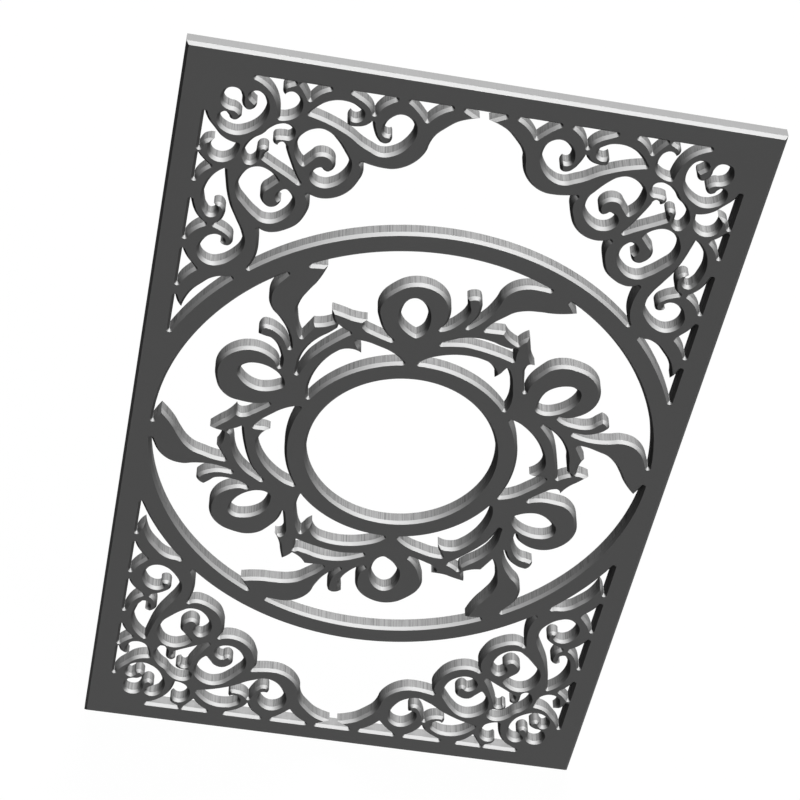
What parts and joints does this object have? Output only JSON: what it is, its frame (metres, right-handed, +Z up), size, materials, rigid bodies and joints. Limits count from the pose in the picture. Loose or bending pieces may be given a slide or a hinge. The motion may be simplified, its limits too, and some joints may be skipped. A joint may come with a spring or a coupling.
{
  "type": "carved fretwork panel",
  "caption": "Flat carved fretwork panel: a slim rectangular frame holds a large ring, a small middle ring, scroll sprays turning round it and scrolled corner frets, for screens and partitions.",
  "frame": {"origin": "middle of the panel's bottom edge, halfway through its thickness", "axes": "+Z up the panel, +X to the right as seen from the front, and the carved front faces -Y"},
  "size_m": [0.7, 0.018, 1.12],
  "materials": {
    "painted_wood": "satin charcoal paint",
    "dowel_wood": "bare"
  },
  "bodies": {
    "root": {"bottom_rail": "painted_wood", "corner_fret_bottom_left": "painted_wood", "corner_fret_bottom_right": "painted_wood", "corner_fret_top_left": "painted_wood", "corner_fret_top_right": "painted_wood", "fret_to_rail_dowels": "dowel_wood", "fret_to_ring_dowels": "dowel_wood", "fret_to_stile_dowels": "dowel_wood", "left_stile": "painted_wood", "middle_ring": "painted_wood", "right_stile": "painted_wood", "ring_segment_lower_left": "painted_wood", "ring_segment_lower_middle": "painted_wood", "ring_segment_lower_right": "painted_wood", "ring_segment_upper_left": "painted_wood", "ring_segment_upper_middle": "painted_wood", "ring_segment_upper_right": "painted_wood", "ring_to_stile_dowels": "dowel_wood", "ring_tongues": "dowel_wood", "spray_1": "painted_wood", "spray_2": "painted_wood", "spray_3": "painted_wood", "spray_4": "painted_wood", "spray_5": "painted_wood", "spray_6": "painted_wood", "spray_leaf_dowels": "dowel_wood", "spray_neck_dowels": "dowel_wood", "top_rail": "painted_wood"}
  },
  "joints": []
}
